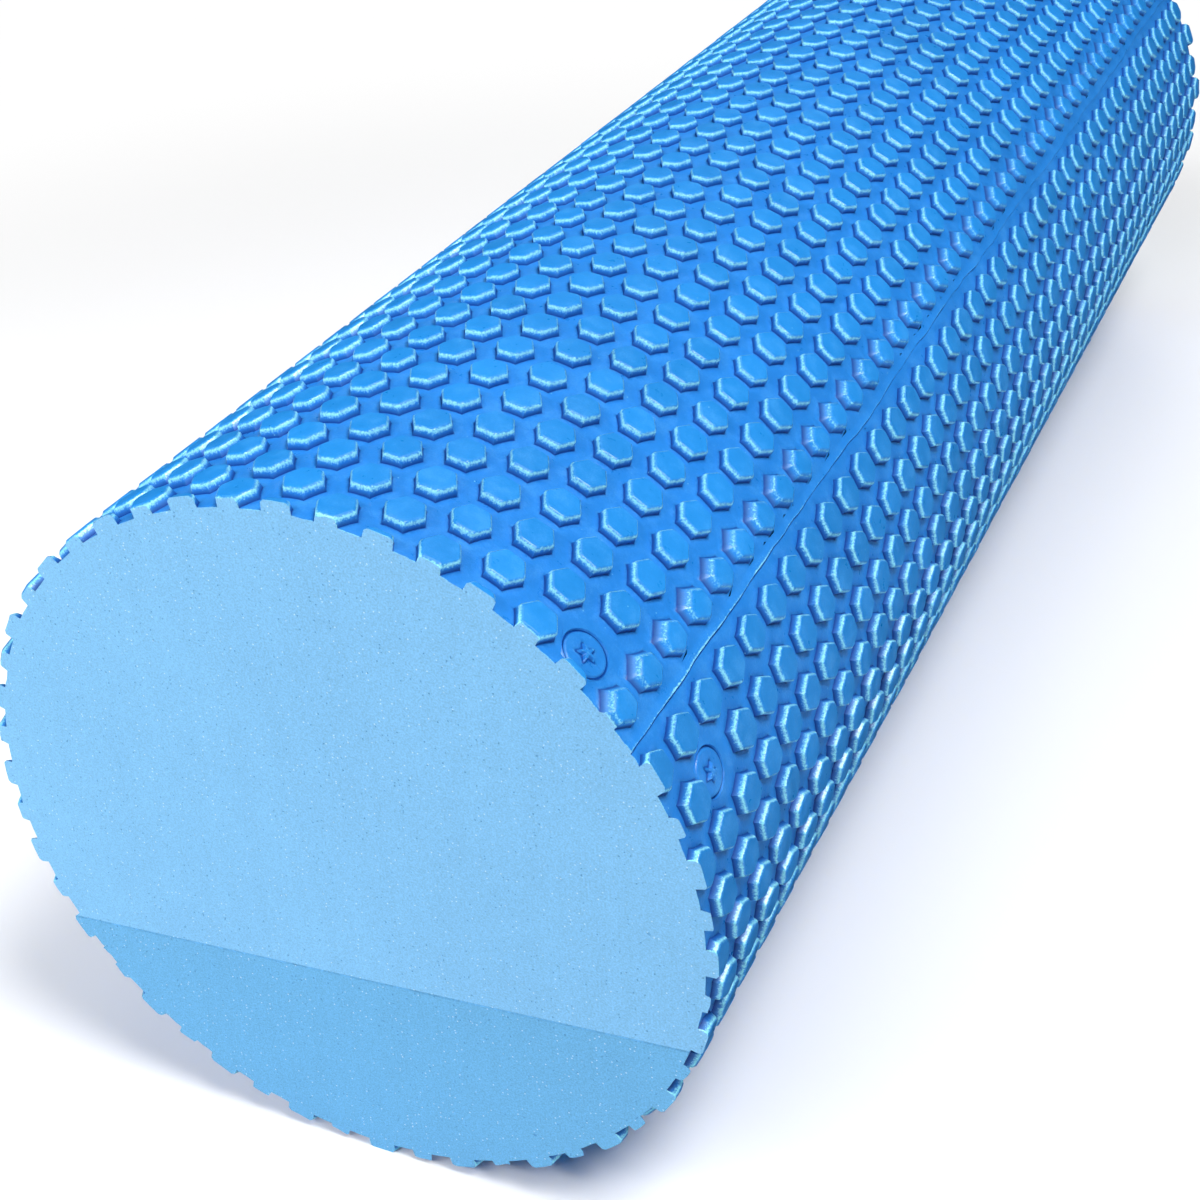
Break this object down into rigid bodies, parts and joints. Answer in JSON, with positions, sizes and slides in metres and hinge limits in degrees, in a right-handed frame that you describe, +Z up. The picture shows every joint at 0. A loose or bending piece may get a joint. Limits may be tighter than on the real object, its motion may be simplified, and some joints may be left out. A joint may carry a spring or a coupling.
{
  "type": "foam roller",
  "caption": "Solid cylindrical EVA foam massage roller with a studded hexagon-textured skin, flat sawn ends and a glued slab core.",
  "frame": {"origin": "on the floor, below the middle of the roller, which lies on its side on one row of studs", "axes": "+Y along the roller from its near sawn end to its far sawn end, +Z up, +X to the right seen from the near end"},
  "size_m": [0.1452, 0.45, 0.145],
  "materials": {
    "upper_foam": "satin moulded EVA foam skin, pale matte foam on the sawn ends",
    "lower_foam": "satin moulded EVA foam skin, pale matte foam on the sawn ends",
    "glue": "matte dried contact adhesive"
  },
  "bodies": {
    "root": {"upper_foam_block": "upper_foam", "lower_foam_block": "lower_foam", "glue_layer": "glue"}
  },
  "joints": []
}
